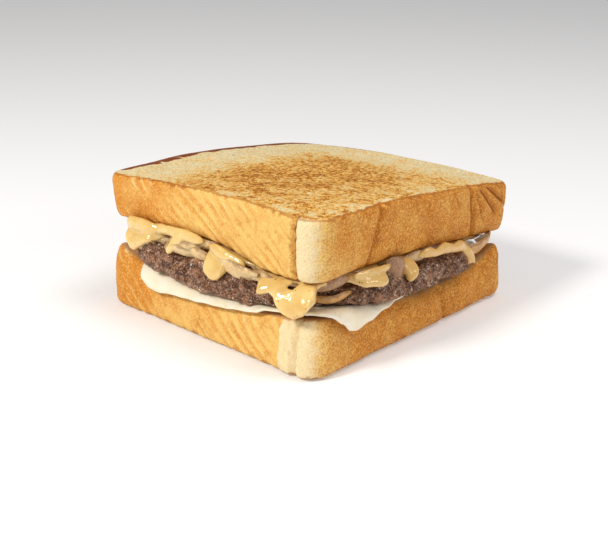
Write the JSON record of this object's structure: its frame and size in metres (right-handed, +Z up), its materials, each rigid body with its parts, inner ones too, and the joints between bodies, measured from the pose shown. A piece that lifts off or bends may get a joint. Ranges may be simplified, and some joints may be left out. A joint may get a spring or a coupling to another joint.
{
  "type": "patty melt sandwich",
  "caption": "Patty melt: thick griddled toast slices round a craggy beef patty, melted white cheese, soft onions and creamy sauce that hangs from the upper slice.",
  "frame": {"origin": "middle of the lower slice's footprint, on its flat underside", "axes": "+Z up through the layers, +X across the slice's width, +Y towards the loaf's crown"},
  "size_m": [0.1311, 0.1244, 0.0587],
  "materials": {
    "crust": "dry griddled toast crust",
    "cheese": "soft melted white cheese",
    "beef": "craggy browned beef, moist",
    "onion": "soft cooked onion, wet",
    "sauce": "thick creamy sauce, glossy"
  },
  "bodies": {
    "root": {"bread_bottom": "crust", "bread_top": "crust", "cheese": "cheese", "patty": "beef", "onions": "onion", "sauce": "sauce"}
  },
  "joints": []
}
